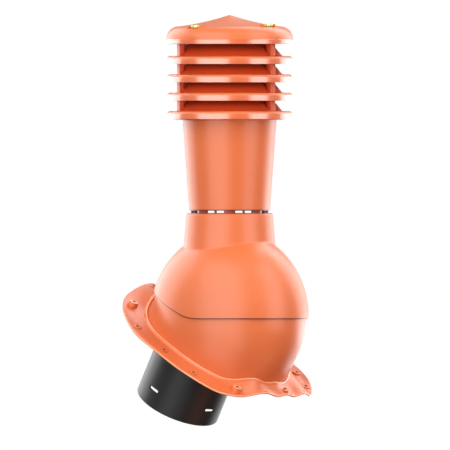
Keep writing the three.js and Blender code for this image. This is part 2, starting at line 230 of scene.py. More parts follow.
class Finish:
    """One material, whose nodes are made as its surface is described"""

    def __init__(self, name):
        self.material = bpy.data.materials.new(name)
        self.material.use_nodes = True
        self.tree = self.material.node_tree
        self.shader = self.tree.nodes["Principled BSDF"]
        self.place = self.node("ShaderNodeTexCoord", {}, {}, "Object")

    def node(self, kind, settings, sockets, output=0):
        made = self.tree.nodes.new(kind)
        for name, value in settings.items():
            setattr(made, name, value)
        for key, value in sockets.items():
            self.feed(made.inputs[key], value)
        return Term(self, made.outputs[output])

    def feed(self, socket, value):
        if isinstance(value, Term):
            self.tree.links.new(value.socket, socket)
        else:
            socket.default_value = value

    def noise(self, scale, detail=2.0, place=None):
        sockets = {"Vector": place or self.place, "Scale": scale, "Detail": detail}
        return self.node("ShaderNodeTexNoise", {}, sockets)

    def between(self, share, first, second):
        sockets = {"Factor": share, 6: first, 7: second}
        return self.node("ShaderNodeMix", {"data_type": "RGBA"}, sockets, 2)

    def ramp(self, value, low, high):
        sockets = {"Value": value, "From Min": low, "From Max": high}
        return self.node("ShaderNodeMapRange", {"interpolation_type": "SMOOTHSTEP"}, sockets)

    def bump(self, height, strength, distance):
        return self.node("ShaderNodeBump", {}, {"Height": height, "Strength": strength, "Distance": distance})

    def surface(self, **sockets):
        for name, value in sockets.items():
            self.feed(self.shader.inputs[name.replace("_", " ")], value)
        return self.material


def slot_tool():
    """The punch for one slot, in its place on the duct's right side"""
    tool = prism("slot", tablet(SLOT_HEIGHT, SLOT_LENGTH, SLOT_EASING), -2 * WALL, 2 * WALL)
    outward = Matrix.Rotation(math.pi / 2, 4, "Y")
    tool.data.transform(Matrix.Translation((DUCT_RADIUS, 0, SLOT_ABOVE_RIM - DUCT_BELOW)) @ outward)
    return tool


def black_duct_plastic():
    """Satin black plastic with faint draw lines along the pipe"""
    finish = Finish("black_duct_plastic")
    along = {"Vector": finish.place, "Rotation": (-ROOF_PITCH, 0, 0), "Scale": DRAW_LINES}
    drawn = finish.node("ShaderNodeMapping", {}, along)
    lines = finish.noise(1.0, 3.0, drawn)
    grain = finish.noise(DUCT_GRAIN_SCALE)
    return finish.surface(
        Base_Color=finish.between(lines * 0.6 + grain * 0.3, DUCT_COLOUR, DUCT_WORN),
        Roughness=DUCT_ROUGHNESS + lines * 0.1 + grain * 0.05,
        Specular_IOR_Level=0.26,
        Normal=finish.bump(lines * 0.6 + grain * 0.4, 0.06, DUCT_BUMP))


duct_inner = DUCT_RADIUS - WALL
duct = turned("duct_pipe", eased([
    (duct_inner, -DUCT_BELOW, 1.0),
    (DUCT_RADIUS, -DUCT_BELOW, 1.2),
    (DUCT_RADIUS, GAP, 0.6),
    (DUCT_RADIUS + DUCT_LIP, GAP, 0.5),
    (DUCT_RADIUS + DUCT_LIP, WALL + GAP, 0.8),
    (duct_inner, WALL + GAP, 0.8),
]))
worked(duct, spread_round(SLOT_COUNT, slot_tool), "DIFFERENCE")
dressed(duct, roof_setting, black_duct_plastic())
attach(duct, "roof_base")
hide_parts("duct_stub")

# Base
# The lower ball, its bead and the wavy flange that lies on the tiles, moulded as one in terracotta plastic.
# Nail bosses and flat screw eyelets stand on the flange, and a floor inside holds the duct.
BALL_DOWNSLOPE = 28.5
BALL_ABOVE_ROOF = 59.6
BALL_RADIUS = 126.0
BALL_HALF_WIDTH = 103.5
BALL_WALL = 2.0
BALL_CLEARANCE = 1.2
RIM_HEIGHT = 53.0
RIM_FALL = 0.2
BASE_WALL = 2.4
BASE_COLUMNS = 240
OUTSIDE_ROWS = 48
INSIDE_ROWS = 24
FACE_ROWS = 14
UNDERSIDE_ROWS = 8
ROUND_ROWS = 9
FIT_PASSES = 8
BEAD_HALF_WIDTH = 93.1
BEAD_HALF_LENGTH = 119.3
BEAD_POWER = 2.32
BEAD_DOWNSLOPE = 26.5
BEAD_HEIGHT = 13.0
BEAD_WIDTH = 3.0
BEAD_PROUD = 4.0
FOOT_DROP = 3.0
FLANGE_HALF_WIDTH = 125.4
FLANGE_UP = 127.4
FLANGE_UP_POWER = 2.2
FLANGE_DOWN = 160.2
FLANGE_DOWN_POWER = 4.6
FLANGE_HOLLOW = 1.4
FLANGE_RAISE = 26.0
RAISE_FROM = 8.0
RAISE_TO = 190.0
FLARE_SIDES = 62.0
FLARE_UPSLOPE = 36.0
FLARE_POWER = 2.8
FLOOR_SETBACK = 8.0
BEAD_WAVE = np.array([(-95, -3.4), (-70, -4.6), (-27, 8.4), (-4, 3.4), (12, 4), (42, -1.2), (74, 5),
                      (96, -4)])
EDGE_WAVE = np.array([(-126, 3), (-119, 4.4), (-91, 1.4), (-62, 0.7), (-11, 7), (17, 1.6), (35, 4.2), (50, 1),
                      (69, 4.8), (102, -5), (126, 3.5)])
BOSSES = [(-76.7, 85.7), (76.7, 85.7), (-60.6, -146.6)]
EYELETS = [(-106.9, 35.8), (106.9, 35.8), (-109, -30.4), (109, -30.4), (-104.5, -95.5), (115, -89.8),
           (105.6, -123.8), (34.9, -149.4), (-11.9, 117.7)]
BOSS_RADIUS = 6.8
BOSS_DRAFT = 0.8
BOSS_RISE = 6.5
EYELET_RADIUS = 6.6
EYELET_RISE = 0.9
NAIL_RADIUS = 2.3
NAIL_REACH = 20.0
PAD_EASING = 0.6
FIXING_SIDES = 32
TERRACOTTA = (0.69, 0.163, 0.052, 1)
TERRACOTTA_DEEP = (0.64, 0.137, 0.042, 1)
# Painted highlight: the pale colour of the bead's crest, the flange's edge and the boss tops
CREST_PAINTED_HIGHLIGHT = (0.86, 0.30, 0.14, 1)
# Painted shade: the dark of the nail holes, the eyelet rims and the line along the hood's edge
EDGE_SHADE = (0.20, 0.026, 0.008, 1)
PLASTIC_ROUGHNESS = 0.28
POLISH_ROUGHNESS = 0.2
CREST_COAT = 0.5
CLOUD_SCALE = 9.0
FLECK_SCALE = 520.0
GRAIN_SCALE = 1500.0
GRAIN_BUMP = 0.0003
STEEP = 0.5


def smooth(value, low, high):
    """A share from 0 to 1 that starts and ends gently"""
    share = np.clip((value - low) / (high - low), 0, 1)
    return share * share * (3 - 2 * share)


def superellipse(turns, half_width, half_length, power):
    """Points of a rounded outline, in the direction of each turn"""
    across = np.abs(np.cos(turns) / half_width) ** power
    along = np.abs(np.sin(turns) / half_length) ** power
    radius = (across + along) ** (-1 / power)
    return np.stack([radius * np.cos(turns), radius * np.sin(turns)], axis=-1)


def egg(turns, half_width, up, up_power, down, down_power):
    """An outline whose upslope and downslope halves have their own length and fullness"""
    upslope = superellipse(turns, half_width, up, up_power)
    downslope = superellipse(turns, half_width, down, down_power)
    return np.where(np.sin(turns)[..., None] > 0, upslope, downslope)


def wave(across, points):
    """A tile wave, level at each crest and trough, with a cosine between them"""
    reach = np.clip(across, points[0, 0], points[-1, 0])
    right = np.clip(np.searchsorted(points[:, 0], reach), 1, len(points) - 1)
    start, end = points[right - 1], points[right]
    share = (reach - start[..., 0]) / (end[..., 0] - start[..., 0])
    return start[..., 1] + (end[..., 1] - start[..., 1]) * (1 - np.cos(np.pi * share)) / 2


def ground(plan, share):
    """The tiles' height, at a share of the way from the bead to the edge, with the rise at the upslope end"""
    level = wave(plan[..., 0], BEAD_WAVE) * (1 - share) + wave(plan[..., 0], EDGE_WAVE) * share
    return level + FLANGE_RAISE * smooth(plan[..., 1], RAISE_FROM, RAISE_TO)


def bead_plan(turns, inset):
    outline = superellipse(turns, BEAD_HALF_WIDTH - inset, BEAD_HALF_LENGTH - inset, BEAD_POWER)
    return outline - (0, BEAD_DOWNSLOPE)


def edge_plan(turns, inset):
    return egg(turns, FLANGE_HALF_WIDTH - inset, FLANGE_UP - inset, FLANGE_UP_POWER,
               FLANGE_DOWN - inset, FLANGE_DOWN_POWER)


def ball_plan(turns, height, inset):
    """The lower ball's level section at a height over the roof"""
    radius = BALL_RADIUS - BALL_WALL - BALL_CLEARANCE
    half_width = BALL_HALF_WIDTH - BALL_WALL - BALL_CLEARANCE
    share = np.sqrt(1 - np.clip((height - BALL_ABOVE_ROOF) / radius, -1, 1) ** 2)
    return superellipse(turns, half_width * share - inset, radius * share - inset, 2) - (0, BALL_DOWNSLOPE)


def ball_wall(turns, foot, inset, rows):
    """The wall of the lower ball, from its rim inside the hood down to its foot, drawn out to the bead"""
    rim = np.full_like(turns, BALL_ABOVE_ROOF + RIM_HEIGHT)
    for _ in range(FIT_PASSES):
        along = ball_plan(turns, rim, 0)[:, 1] + BALL_DOWNSLOPE
        rim = BALL_ABOVE_ROOF + RIM_HEIGHT - RIM_FALL * along
    flare_from = FLARE_SIDES + (FLARE_UPSLOPE - FLARE_SIDES) * smooth(np.sin(turns), 0, 1)
    reach = bead_plan(turns, BEAD_WIDTH / 2 + inset) - ball_plan(turns, foot, inset)
    wall = []
    for share in np.linspace(0, 1, rows):
        height = rim + (foot - rim) * share
        flare = np.clip((flare_from - height) / (flare_from - foot), 0, 1) ** FLARE_POWER
        plan = ball_plan(turns, height, inset) + reach * flare[:, None]
        wall.append(np.column_stack([plan, height]))
    return wall


def flange_face(plan, share):
    """Height of the flange's face, at a share of the way from the bead to the edge"""
    return ground(plan, share) + (BEAD_HEIGHT - BEAD_PROUD) * (1 - share) ** FLANGE_HOLLOW


def flange_sheet(turns, drop, rows):
    start = bead_plan(turns, -BEAD_WIDTH)
    edge = edge_plan(turns, WALL / 2)
    sheet = []
    for share in np.linspace(0, 1, rows):
        plan = start + (edge - start) * share
        sheet.append(np.column_stack([plan, flange_face(plan, share) - drop]))
    return sheet


def flange_height(across, along):
    """Height of the flange's face over a place on it"""
    place = np.array((across, along), float)
    turn = np.array([math.atan2(along, across)])
    for _ in range(FIT_PASSES):
        start = bead_plan(turn, -BEAD_WIDTH)[0]
        run = edge_plan(turn, 0)[0] - start
        share = np.clip((place - start) @ run / (run @ run), 0, 1)
        near = start + run * share
        turn = turn + math.atan2(along, across) - math.atan2(near[1], near[0])
    return float(flange_face(place, share))


def base_grid(turns):
    """The base's section, run round: outside, bead, flange, edge, underside, floor and inside, with a share
    for each row that is polished and painted paler as a painted highlight"""
    loop, polish_and_painted_highlight = [], []

    def add(rows, polish_and_highlight=0.0):
        loop.extend(rows)
        polish_and_painted_highlight.extend([polish_and_highlight] * len(rows))

    def row(plan, height):
        return np.column_stack([plan, np.broadcast_to(height, turns.shape)])

    bead_top = ground(bead_plan(turns, 0), 0) + BEAD_HEIGHT
    half = BEAD_WIDTH / 2
    add(ball_wall(turns, bead_top - FOOT_DROP, 0, OUTSIDE_ROWS))
    crest = [row(bead_plan(turns, -half * math.cos(turn)), bead_top - half + half * math.sin(turn))
             for turn in np.linspace(np.pi, 0, ROUND_ROWS)]
    add(crest[:2])
    # The crest's top is polished and takes a painted highlight
    add(crest[2:-1], 1.0)
    add(crest[-1:] + flange_sheet(turns, 0, FACE_ROWS))
    edge_top = flange_face(edge_plan(turns, WALL / 2), 1)
    # The edge's rounding is polished and takes a painted highlight
    add([row(edge_plan(turns, WALL / 2 * (1 - math.cos(turn))), edge_top - WALL / 2 * (1 - math.sin(turn)))
         for turn in np.linspace(np.pi / 2, -np.pi / 2, ROUND_ROWS)[1:-1]], 1.0)
    hole = superellipse(turns, DUCT_RADIUS + GAP, DUCT_RADIUS + GAP, 2)
    add(flange_sheet(turns, WALL, UNDERSIDE_ROWS)[::-1])
    add([row(bead_plan(turns, FLOOR_SETBACK - BASE_WALL), -WALL), row(hole, -WALL), row(hole, 0),
         row(bead_plan(turns, FLOOR_SETBACK), 0)])
    add(ball_wall(turns, bead_top - FOOT_DROP, BASE_WALL, INSIDE_ROWS)[::-1])
    return np.array(loop), polish_and_painted_highlight


def terracotta_plastic(name):
    """Semi-gloss terracotta plastic, with the cloudy tint of the melt and a fine spark-eroded grain"""
    finish = Finish(name)
    clouds = finish.noise(CLOUD_SCALE, 3.0)
    flecks = finish.noise(FLECK_SCALE)
    grain = finish.noise(GRAIN_SCALE)
    tint = clouds * 0.9 + flecks * 0.35 - 0.1
    finish.colour = finish.between(tint, TERRACOTTA, TERRACOTTA_DEEP)
    finish.surface(
        Base_Color=finish.colour,
        Roughness=PLASTIC_ROUGHNESS + clouds * 0.06 + grain * 0.06,
        Normal=finish.bump(grain + flecks * 0.5, 0.05, GRAIN_BUMP))
    return finish


def base_terracotta():
    """The same plastic, polished on the crests and boss tops and painted paler there as a painted highlight,
    with painted shade in the nail holes and on the eyelet rims
    """
    finish = terracotta_plastic("terracotta_base")
    crest = finish.node("ShaderNodeAttribute", {"attribute_name": "polish_and_painted_highlight"}, {}, "Fac")
    fixing_painted_light = finish.node("ShaderNodeAttribute", {"attribute_name": "fixing_painted_light"}, {}, "Fac")
    polish_and_painted_highlight = (crest + fixing_painted_light).at_least(0)
    # Painted highlight: the crests and boss tops are painted paler
    pale = finish.between(polish_and_painted_highlight, finish.colour, CREST_PAINTED_HIGHLIGHT)
    # Painted shade: the nail holes and eyelet rims are painted dark
    return finish.surface(
        Base_Color=finish.between(0 - fixing_painted_light, pale, EDGE_SHADE),
        Coat_Weight=polish_and_painted_highlight * CREST_COAT,
        Coat_Roughness=POLISH_ROUGHNESS)


def pillar(foot_radius, top_radius, low, high, easing):
    """A round post with an eased top"""
    profile = eased([(0, low, 0), (foot_radius, low, 0), (top_radius, high, easing), (0, high, 0)])
    return turned("post", profile, FIXING_SIDES)


def mark_fixings(mesh):
    """Marks the faces of the fixings for painted light: above nought on boss tops, for a painted highlight,
    and below it in nail holes and on eyelet rims, for painted shade
    """
    centres, normals = np.empty((2, len(mesh.polygons) * 3), np.float32)
    mesh.polygons.foreach_get("center", centres)
    mesh.polygons.foreach_get("normal", normals)
    centres, lean = centres.reshape(-1, 3), normals.reshape(-1, 3)[:, 2]
    mark = np.zeros(len(mesh.polygons), np.float32)
    for places, radius, rise in ((BOSSES, BOSS_RADIUS, BOSS_RISE), (EYELETS, EYELET_RADIUS, EYELET_RISE)):
        for place in places:
            away = np.linalg.norm(centres[:, :2] - place, axis=1)
            above = centres[:, 2] - flange_height(*place)
            near = (away < radius + GAP) & (above < rise + GAP)
            # Boss tops take a painted highlight, and eyelet rims and nail holes take painted shade
            if places is BOSSES:
                mark[near & (above > rise - PAD_EASING) & (lean > STEEP)] = 1
            else:
                mark[near & (above > 0) & (lean < STEEP)] = -1
            mark[near & (away < NAIL_RADIUS + GAP) & (np.abs(lean) < STEEP)] = -1
    mesh.attributes.new("fixing_painted_light", "FLOAT", "FACE").data.foreach_set("value", mark)


base_turns = np.linspace(0, 2 * np.pi, BASE_COLUMNS, endpoint=False)
base = skin("base_moulding", *base_grid(base_turns))
pads, nails = [], []
for places, radius, draft, rise in ((BOSSES, BOSS_RADIUS, BOSS_DRAFT, BOSS_RISE),
                                    (EYELETS, EYELET_RADIUS, 0, EYELET_RISE)):
    for across, along in places:
        face = flange_height(across, along)
        pad = pillar(radius + draft, radius, face - WALL, face + rise, PAD_EASING)
        nail = pillar(NAIL_RADIUS, NAIL_RADIUS, face - NAIL_REACH, face + NAIL_REACH, 0)
        for body, group in ((pad, pads), (nail, nails)):
            body.data.transform(Matrix.Translation((across, along, 0)))
            group.append(body)
worked(base, pads, "UNION")
worked(base, nails, "DIFFERENCE")
mark_fixings(base.data)
dressed(base, roof_setting, base_terracotta())
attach(base, "roof_base")
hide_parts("base")

# Ball hood
# The upper ball and the neck, moulded as one in the same plastic. It laps over the lower ball and turns on it
# about a level axis across the slope. Its edge is level in front and rises up the slope behind, and a seat in
# the neck carries the pipe.
SEAM_DROP = 4.4
SEAM_BEND = 16.0
SEAM_SLOPE = math.tan(math.radians(22))
NECK_TOP = 149.0
NECK_TOP_RADIUS = 63.2
NECK_FOOT = 60.0
NECK_FOOT_RADIUS = 69.8
NECK_EASING = 1.8
CREASE_EASING = 2.2
SEAT_TOP = 139.0
SEAT_INNER_RADIUS = 50.0
HOOD_COLUMNS = 224
NECK_ROWS = 12
DOME_ROWS = 40
DOME_INNER_ROWS = 20
EASING_ROWS = 6
CREASE_PASSES = 12
CREASE_GUESS = 100.0
EDGE_ROUNDING = 0.6
EDGE_INNER_ROUNDING = 0.4
# Painted shade: a dark line along the hood's edge, and round the slit at the neck's top
SEAM_SHADOW_WIDTH = 1.7
SLIT_SHADE = (0.26, 0.035, 0.014, 1)
SLIT_FADE = 1.6
# The lips at the slit, at the neck's top and under the pipe's foot, are dark with painted shade
SLIT_SHADE_LIP = 1.0
plumb_setting = Matrix.Translation(frame["joints"][0]["pos_m"]) @ Matrix.Scale(MM, 4)


def seam_height(along):
    """Height of the hood's edge: level downslope, then bent up the slope"""
    bend = np.clip(along, -2 * SEAM_BEND, 0) / SEAM_BEND / 2 + 1
    return SEAM_BEND * SEAM_SLOPE * bend ** 2 - SEAM_DROP + np.maximum(along, 0) * SEAM_SLOPE


def neck_radius(height):
    """Radius of the tapered neck at a height"""
    share = (height - NECK_FOOT) / (NECK_TOP - NECK_FOOT)
    return NECK_FOOT_RADIUS + (NECK_TOP_RADIUS - NECK_FOOT_RADIUS) * share


def hood_grid(turns):
    """The hood's section, run round: down the neck and the ball, under the edge, and up the inside"""
    across, along = np.cos(turns), np.sin(turns)

    def girth(inset):
        return 1 / np.hypot(across / (BALL_HALF_WIDTH - inset), along / (BALL_RADIUS - inset))

    def ring(radius, height):
        return np.column_stack([radius * across, radius * along, np.broadcast_to(height, turns.shape)])

    def on_ball(lift, inset):
        return ring(girth(inset) * np.cos(lift), (BALL_RADIUS - inset) * np.sin(lift))

    def crease(wall, inset):
        height = np.full_like(turns, CREASE_GUESS)
        for _ in range(CREASE_PASSES):
            share = (neck_radius(height) - wall) / girth(inset)
            height = (BALL_RADIUS - inset) * np.sqrt(1 - share ** 2)
        return height

    edge = np.zeros_like(turns)
    for _ in range(CREASE_PASSES):
        edge = np.arcsin(seam_height(girth(0) * np.cos(edge) * along) / BALL_RADIUS)
    top = crease(0, 0)
    ease = CREASE_EASING / BALL_RADIUS
    lift = np.arcsin(top / BALL_RADIUS) - ease
    loop = []
    for turn in np.linspace(np.pi / 2, 0, EASING_ROWS):
        radius = neck_radius(NECK_TOP) - NECK_EASING * (1 - math.cos(turn))
        loop.append(ring(radius, NECK_TOP - NECK_EASING * (1 - math.sin(turn))))
    for share in np.linspace(0, 1, NECK_ROWS)[1:]:
        height = NECK_TOP - NECK_EASING + (top + CREASE_EASING - NECK_TOP + NECK_EASING) * share
        loop.append(ring(neck_radius(height), height))
    start, corner, end = loop[-1], ring(neck_radius(top), top), on_ball(lift, 0)
    for share in np.linspace(0, 1, EASING_ROWS)[1:-1]:
        loop.append((1 - share) ** 2 * start + 2 * share * (1 - share) * corner + share ** 2 * end)
    rounding = EDGE_ROUNDING / BALL_RADIUS
    for share in np.linspace(0, 1, DOME_ROWS):
        loop.append(on_ball(lift + (edge + rounding - lift) * share, 0))
    for inset, rise in ((EDGE_ROUNDING / 3, EDGE_ROUNDING / 2), (EDGE_ROUNDING, 0),
                        (BALL_WALL - EDGE_INNER_ROUNDING, 0), (BALL_WALL, EDGE_INNER_ROUNDING)):
        loop.append(on_ball(edge + rise / BALL_RADIUS, inset))
    inner_top = crease(WALL, BALL_WALL)
    inner_lift = np.arcsin(inner_top / (BALL_RADIUS - BALL_WALL))
    for share in np.linspace(0, 1, DOME_INNER_ROWS)[1:]:
        loop.append(on_ball(edge + (inner_lift - edge) * share, BALL_WALL))
    # The lip at the neck's top, under the slit, is dark with painted shade
    seat_foot = SEAT_TOP - WALL
    for radius, height in ((neck_radius(seat_foot) - WALL, seat_foot - WALL), (SEAT_INNER_RADIUS, seat_foot),
                           (SEAT_INNER_RADIUS, SEAT_TOP), (neck_radius(SEAT_TOP) - WALL, SEAT_TOP),
                           (neck_radius(NECK_TOP) - WALL, NECK_TOP + SLIT_SHADE_LIP),
                           (neck_radius(NECK_TOP) - WALL / 2, NECK_TOP + SLIT_SHADE_LIP),
                           (neck_radius(NECK_TOP) - WALL / 2, NECK_TOP)):
        loop.append(ring(radius, height))
    return np.array(loop)


def hood_terracotta():
    """The same plastic, with painted shade along its cut edge and round the slit under the pipe"""
    finish = terracotta_plastic("terracotta_hood")
    from_middle = {0: finish.place, 1: plumb_setting.translation}
    spot = finish.node("ShaderNodeVectorMath", {"operation": "SUBTRACT"}, from_middle)
    along = finish.node("ShaderNodeSeparateXYZ", {}, {0: spot}, "Y") * (1 / MM)
    height = finish.node("ShaderNodeSeparateXYZ", {}, {0: spot}, "Z") * (1 / MM)
    bend = along.between(-2 * SEAM_BEND, 0) * (0.5 / SEAM_BEND) + 1
    seam = bend * bend * (SEAM_BEND * SEAM_SLOPE) - SEAM_DROP + along.at_least(0) * SEAM_SLOPE
    # Painted shadow: a dark line along the hood's lower edge
    face = finish.ramp(height - seam, 0.5 * SEAM_SHADOW_WIDTH, SEAM_SHADOW_WIDTH)
    # Painted shade round the slit at the neck's top
    slit = finish.ramp(height, NECK_TOP - SLIT_FADE, NECK_TOP)
    shaded = finish.between(slit, finish.colour, SLIT_SHADE)
    return finish.surface(Base_Color=finish.between(face, EDGE_SHADE, shaded))


hood_turns = np.linspace(0, 2 * np.pi, HOOD_COLUMNS, endpoint=False)
hood = dressed(skin("hood_moulding", hood_grid(hood_turns)), plumb_setting, hood_terracotta())
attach(hood, "pipe_hood")
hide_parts("ball_hood")

# Upper pipe
# A tapered pipe of the same plastic. It stands on eight tabs in the neck's seat, which leave a slit for air,
# and a disc round its top closes the lowest louvre ring from below.
PIPE_FOOT = 154.2
PIPE_FOOT_RADIUS = 58.9
PIPE_TOP = 285.4
PIPE_TOP_RADIUS = 68.4
PIPE_DISC_RADIUS = 78.6
PIPE_DISC = 2.4
PIPE_COLLAR = 296.0
COLLAR_STEP = 0.5
TAB_COUNT = 8
TAB_RADIUS = 54.6
TAB_DEPTH = 3.4
TAB_SPREAD = math.radians(17)
TAB_RISE = 12.0
RIB_INNER = 50.6
RIB_WIDTH = 1.6


def curved_bar(radius, depth, spread, steps=8):
    """The outline of a bar bent round the axis"""
    turns = np.linspace(-spread / 2, spread / 2, steps)
    outer = np.column_stack([np.cos(turns), np.sin(turns)]) * (radius + depth / 2)
    inner = np.column_stack([np.cos(turns), np.sin(turns)]) * (radius - depth / 2)
    return np.concatenate([outer, inner[::-1]])


def pipe_terracotta():
    """The same plastic, with painted shade in deep red on the tabs, ribs and lip below its foot, which stand
    in the slit
    """
    finish = terracotta_plastic("terracotta_pipe")
    height = finish.node("ShaderNodeSeparateXYZ", {}, {0: finish.place}, "Z")
    foot = (plumb_setting @ Vector((0, 0, PIPE_FOOT))).z
    # Painted shade below the pipe's foot, in the slit
    face = finish.ramp(height, foot, foot + MM)
    return finish.surface(Base_Color=finish.between(face, SLIT_SHADE, finish.colour))


pipe_slope = (PIPE_TOP_RADIUS - PIPE_FOOT_RADIUS) / (PIPE_TOP - PIPE_FOOT)
collar_radius = PIPE_TOP_RADIUS + pipe_slope * (PIPE_COLLAR - PIPE_TOP)
# The lip under the pipe's foot is dark with painted shade
pipe = turned("pipe_moulding", eased([
    (PIPE_FOOT_RADIUS - WALL, PIPE_FOOT - SLIT_SHADE_LIP, 0.2),
    (PIPE_FOOT_RADIUS - WALL / 2, PIPE_FOOT - SLIT_SHADE_LIP, 0.2),
    (PIPE_FOOT_RADIUS - WALL / 2, PIPE_FOOT, 0.2),
    (PIPE_FOOT_RADIUS, PIPE_FOOT, 1.2),
    (PIPE_TOP_RADIUS, PIPE_TOP, 1.0),
    (PIPE_DISC_RADIUS, PIPE_TOP, 0.7),
    (PIPE_DISC_RADIUS, PIPE_TOP + PIPE_DISC, 0.7),
    (PIPE_TOP_RADIUS + COLLAR_STEP, PIPE_TOP + PIPE_DISC, 0.5),
    (collar_radius, PIPE_COLLAR, 0.5),
    (collar_radius - WALL, PIPE_COLLAR, 0.5),
]))
tab_foot = SEAT_TOP + GAP
tab_top = PIPE_FOOT + TAB_RISE
tab_outline = curved_bar(TAB_RADIUS, TAB_DEPTH, TAB_SPREAD)
rib_outline = [(RIB_INNER, -RIB_WIDTH / 2), (TAB_RADIUS + TAB_DEPTH / 2, -RIB_WIDTH / 2),
               (TAB_RADIUS + TAB_DEPTH / 2, RIB_WIDTH / 2), (RIB_INNER, RIB_WIDTH / 2)]
tabs = spread_round(TAB_COUNT, lambda: prism("tab", tab_outline, tab_foot, tab_top))
ribs = spread_round(TAB_COUNT, lambda: prism("rib", rib_outline, tab_foot, tab_top), math.pi / TAB_COUNT)
worked(pipe, tabs + ribs, "UNION")
dressed(pipe, plumb_setting, pipe_terracotta())
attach(pipe, "pipe_hood")
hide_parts("upper_pipe")

# Louvre rings
# Four like rings of the same plastic, stacked on three fluted posts each. The lip throws the rain off, and
# the cone inside it stands up behind the lip of the ring above, so that air passes and rain doesn't.
RING_COUNT = 4
RING_RADIUS = 91.4
RING_TOP_FOOT = 366.7
RING_PITCH = 26.7
RING_WALL = 2.4
RING_HEIGHT = 11.6
SHOULDER_EASING = 5.4
CONE_FOOT_RADIUS = 77.0
CONE_TOP_RADIUS = 61.2
CONE_RISE = 18.6
POST_COUNT = 3
POST_FIRST_ANGLE = math.radians(37.1)
POST_RADIUS = 80.8
POST_HALF_WIDTH = 5.0
POST_DEPTH = 7.6
WEB_DEPTH = 4.5
WEB_HALF_WIDTH = 2.0
FLUTE = 0.7
FLUTE_SPAN = (0.6, 0.45, 0.3)
POST_EASING = 0.8
POST_ROOT = 1.0
CAP_CEILING = 415.2
# Painted shade inside the louvres: deep red on the cones and the posts' inner parts, dark towards the cones'
# tops
LOUVRE_RED_SHADE = (0.66, 0.064, 0.014, 1)
LOUVRE_DARK_SHADE = (0.24, 0.020, 0.008, 1)
LOUVRE_DEPTH = (62.0, 74.0)
LEDGE_FADE = (77.0, 84.0)
LIP_DEEP = (0.67, 0.125, 0.026, 1)
LIP_FADE = (0.3, 0.1)
LIP_COAT_IOR = 2.0


def post_outline():
    """A block with two flutes down its face, on a narrower web"""
    back = POST_RADIUS - POST_DEPTH
    half, web, face = POST_HALF_WIDTH, WEB_HALF_WIDTH, POST_RADIUS
    outer, bottom, inner = FLUTE_SPAN
    right = [(back - WEB_DEPTH, -web, 0), (back, -web, POST_EASING), (back, -half, POST_EASING),
             (face, -half, POST_EASING), (face, -outer * half, 0), (face - FLUTE, -bottom * half, 0),
             (face, -inner * half, 0)]
    left = [(across, -along, easing) for across, along, easing in right[::-1]]
    return eased(right + left, steps=4)


def from_axis(finish):
    """Distance from the pipe's axis, in metres"""
    axis = plumb_setting.translation
    level = finish.node("ShaderNodeVectorMath", {"operation": "MULTIPLY_ADD"},
                        {0: finish.place, 1: (1, 1, 0), 2: (-axis.x, -axis.y, 0)})
    return finish.node("ShaderNodeVectorMath", {"operation": "LENGTH"}, {0: level}, "Value")


def lip_polished(finish, lip_radius):
    """Polishes the lip bright and deeper in colour, where the mould's halves slide"""
    start, full = LIP_FADE
    lip = finish.ramp(from_axis(finish), (lip_radius - start) * MM, (lip_radius - full) * MM)
    finish.colour = finish.between(lip, finish.colour, LIP_DEEP)
    return finish.surface(
        Base_Color=finish.colour,
        Coat_Weight=lip,
        Coat_Roughness=POLISH_ROUGHNESS,
        Coat_IOR=LIP_COAT_IOR)


def ring_terracotta():
    """The same plastic, with painted shade on the cones and posts inside the louvre, deep red and dark
    further in
    """
    finish = terracotta_plastic("terracotta_rings")
    radius = from_axis(finish) * (1 / MM)
    # Painted shade: deep red inside the ledge, then dark up the cones
    red_shade = finish.between(finish.ramp(radius, *LEDGE_FADE), LOUVRE_RED_SHADE, finish.colour)
    finish.colour = finish.between(finish.ramp(radius, *LOUVRE_DEPTH), LOUVRE_DARK_SHADE, red_shade)
    return lip_polished(finish, RING_RADIUS)


terracotta_lipped = ring_terracotta()
for i in range(RING_COUNT):
    foot = RING_TOP_FOOT - i * RING_PITCH
    ledge = foot + RING_HEIGHT
    above = CAP_CEILING if i == 0 else ledge + RING_PITCH - RING_WALL
    inside = RING_RADIUS - RING_WALL
    ring = turned(f"ring_moulding_{i + 1}", eased([
        (inside, foot, 0.4),
        (RING_RADIUS, foot, 0.4),
        (RING_RADIUS, ledge, SHOULDER_EASING),
        (CONE_FOOT_RADIUS, ledge, 1.6),
        (CONE_TOP_RADIUS, ledge + CONE_RISE, 0.9),
        (CONE_TOP_RADIUS - RING_WALL, ledge + CONE_RISE - RING_WALL, 0.9),
        (CONE_FOOT_RADIUS - RING_WALL, ledge - RING_WALL, 1.6),
        (inside, ledge - RING_WALL, 3.0),
    ], steps=8))
    posts = spread_round(POST_COUNT, lambda: prism("post", post_outline(), ledge - POST_ROOT, above - GAP),
                         POST_FIRST_ANGLE)
    worked(ring, posts, "UNION")
    dressed(ring, plumb_setting, terracotta_lipped)
    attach(ring, "pipe_hood")
    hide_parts(f"louvre_ring_{i + 1}")

# Cap
# A thin-walled lid of the same plastic, with a rounded shoulder and a hollow-sided cone, on the top ring's
# posts. Two notches in the shoulder are the cradles of the spirit levels.
CAP_FOOT = 395.8
CAP_RADIUS = 92.8
CAP_LIP = 6.8
LIP_STEP = 0.35
LIP_EASING = 0.6
CAP_SHOULDER = 421.5
CAP_SHOULDER_RADIUS = 74.0
CAP_APEX = 438.2
CONE_START = 0.55
CAP_ROWS = 24
LEVEL_RADIUS = 75.0
LEVEL_LENGTH = 20.0
LEVEL_DIAMETER = 4.8
CRADLE_RIM = 2.2
CRADLE_RISE = 1.9
CRADLE_EASING = 2.4
CRADLE_FOOT = 416.8
POCKET_REACH = 12.0
POCKET_EASING = 1.2
LEVELS = [(math.radians(184.8), math.radians(90), 421.1), (math.radians(-87.7), math.radians(180), 423.1)]


